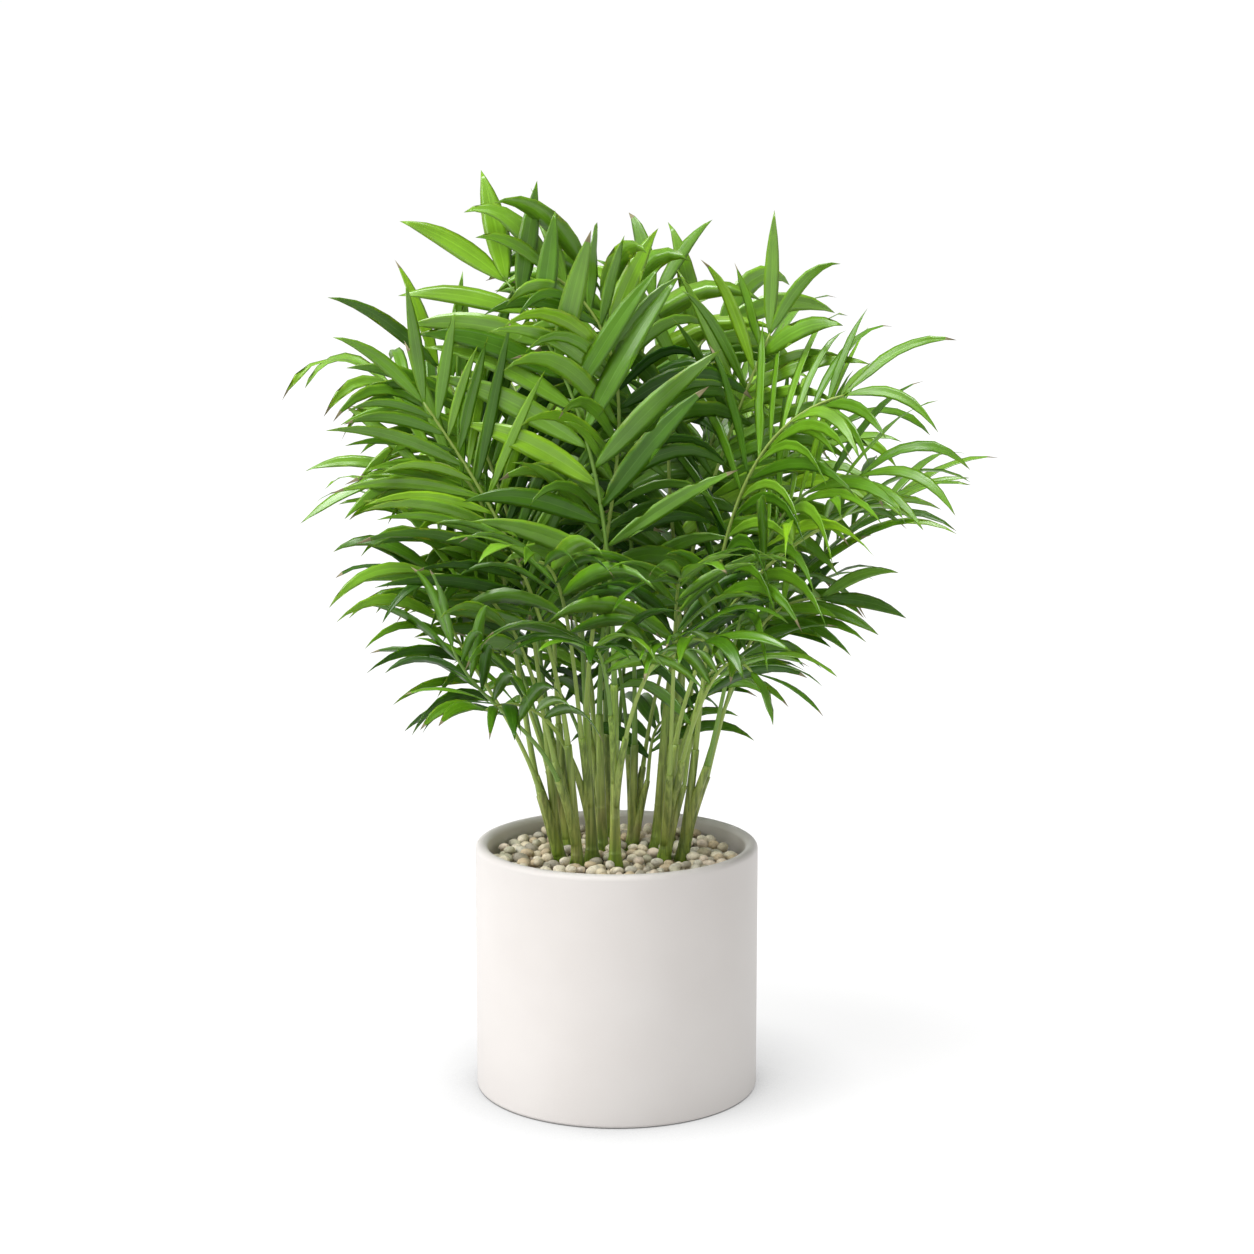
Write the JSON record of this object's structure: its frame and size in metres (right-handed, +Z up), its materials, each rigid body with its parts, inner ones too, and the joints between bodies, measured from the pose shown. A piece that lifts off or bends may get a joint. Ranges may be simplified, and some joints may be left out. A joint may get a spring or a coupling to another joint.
{
  "type": "potted parlour palm",
  "caption": "Parlour palm: a clump of slim canes with arching feathery fronds, in a straight-sided pale ceramic pot topped with pebbles.",
  "frame": {"origin": "middle of the pot's flat underside", "axes": "+Z up along the pot's axis; -Y is the side that the picture shows; +X is to the right seen from there"},
  "size_m": [0.5071, 0.4289, 0.6435],
  "materials": {
    "pot_ceramic": "matte off-white ceramic with a fine even grain",
    "potting_soil": "dark crumbly potting mix",
    "pebble_stone": "small rounded pebbles in cream, beige and grey",
    "cane_skin": "satin green canes with pale sheaths",
    "frond_leaf": "semi-gloss ribbed green leaflets"
  },
  "bodies": {
    "root": {"pot": "pot_ceramic", "potting_mix": "potting_soil", "pebble_layer": "pebble_stone", "cane_01": "cane_skin", "cane_02": "cane_skin", "cane_03": "cane_skin", "cane_04": "cane_skin", "cane_05": "cane_skin", "cane_06": "cane_skin", "cane_07": "cane_skin", "cane_08": "cane_skin", "cane_09": "cane_skin", "cane_10": "cane_skin", "cane_11": "cane_skin", "cane_12": "cane_skin", "frond_01": "frond_leaf", "frond_02": "frond_leaf", "frond_03": "frond_leaf", "frond_04": "frond_leaf", "frond_05": "frond_leaf", "frond_06": "frond_leaf", "frond_07": "frond_leaf", "frond_08": "frond_leaf", "frond_09": "frond_leaf", "frond_10": "frond_leaf", "frond_11": "frond_leaf", "frond_12": "frond_leaf", "frond_13": "frond_leaf", "frond_14": "frond_leaf", "frond_15": "frond_leaf", "frond_16": "frond_leaf", "frond_17": "frond_leaf", "frond_18": "frond_leaf", "frond_19": "frond_leaf", "frond_20": "frond_leaf", "frond_21": "frond_leaf", "frond_22": "frond_leaf", "frond_23": "frond_leaf", "frond_24": "frond_leaf", "frond_25": "frond_leaf", "frond_26": "frond_leaf", "frond_27": "frond_leaf", "frond_28": "frond_leaf", "frond_29": "frond_leaf", "frond_30": "frond_leaf", "frond_31": "frond_leaf", "frond_32": "frond_leaf", "frond_33": "frond_leaf", "frond_34": "frond_leaf", "frond_35": "frond_leaf", "frond_36": "frond_leaf", "frond_37": "frond_leaf", "frond_38": "frond_leaf", "frond_39": "frond_leaf", "frond_40": "frond_leaf", "frond_41": "frond_leaf", "frond_42": "frond_leaf", "frond_43": "frond_leaf", "frond_44": "frond_leaf"}
  },
  "joints": []
}
